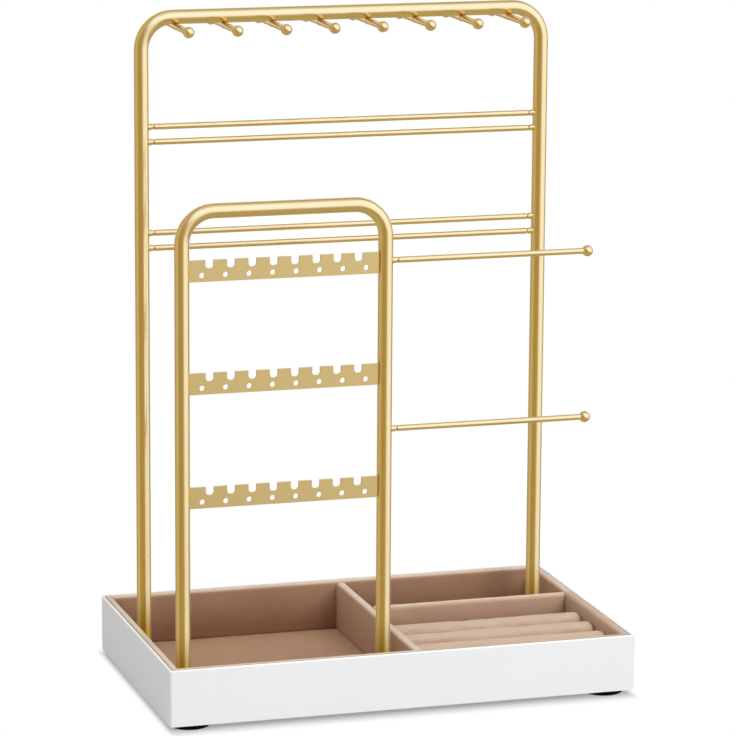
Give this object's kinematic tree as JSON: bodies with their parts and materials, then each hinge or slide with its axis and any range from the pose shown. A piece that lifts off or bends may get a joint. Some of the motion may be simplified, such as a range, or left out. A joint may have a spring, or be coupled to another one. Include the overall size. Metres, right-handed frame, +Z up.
{
  "type": "jewelry stand",
  "caption": "Tabletop jewelry stand: a velvet-lined white tray with padded ring bars, a tall gold necklace frame with ball-ended pegs, and a lower earring frame with arms.",
  "frame": {"origin": "middle of the tray, on the surface that the feet stand on", "axes": "+X along the tray to the right, +Y to the back, +Z up"},
  "size_m": [0.24, 0.1466, 0.3388],
  "materials": {
    "white_board": "satin white lacquer on thin board",
    "black_rubber": "matte",
    "beige_velvet": "short-pile velvet over board and foam",
    "gold_metal": "satin gold plating on steel",
    "brass_insert": "turned",
    "zinc_steel": "zinc plated"
  },
  "bodies": {
    "root": {"tray_front_wall": "white_board", "tray_back_wall": "white_board", "tray_left_wall": "white_board", "tray_right_wall": "white_board", "tray_bottom_panel": "white_board", "rubber_feet": "black_rubber", "velvet_floor": "beige_velvet", "lining_front": "beige_velvet", "lining_back": "beige_velvet", "lining_left": "beige_velvet", "lining_right": "beige_velvet", "main_divider": "beige_velvet", "cross_divider": "beige_velvet", "ring_bar_rear": "beige_velvet", "ring_bar_middle": "beige_velvet", "ring_bar_front": "beige_velvet", "necklace_frame": "gold_metal", "earring_frame": "gold_metal", "earring_strip_upper": "gold_metal", "earring_strip_middle": "gold_metal", "earring_strip_lower": "gold_metal", "bracelet_arm_upper": "gold_metal", "bracelet_arm_lower": "gold_metal", "cross_rod_1": "gold_metal", "cross_rod_2": "gold_metal", "cross_rod_3": "gold_metal", "cross_rod_4": "gold_metal", "necklace_peg_1": "gold_metal", "necklace_peg_2": "gold_metal", "necklace_peg_3": "gold_metal", "necklace_peg_4": "gold_metal", "necklace_peg_5": "gold_metal", "necklace_peg_6": "gold_metal", "necklace_peg_7": "gold_metal", "necklace_peg_8": "gold_metal", "frame_inserts": "brass_insert", "frame_bolts": "zinc_steel", "frame_washers": "zinc_steel"}
  },
  "joints": []
}
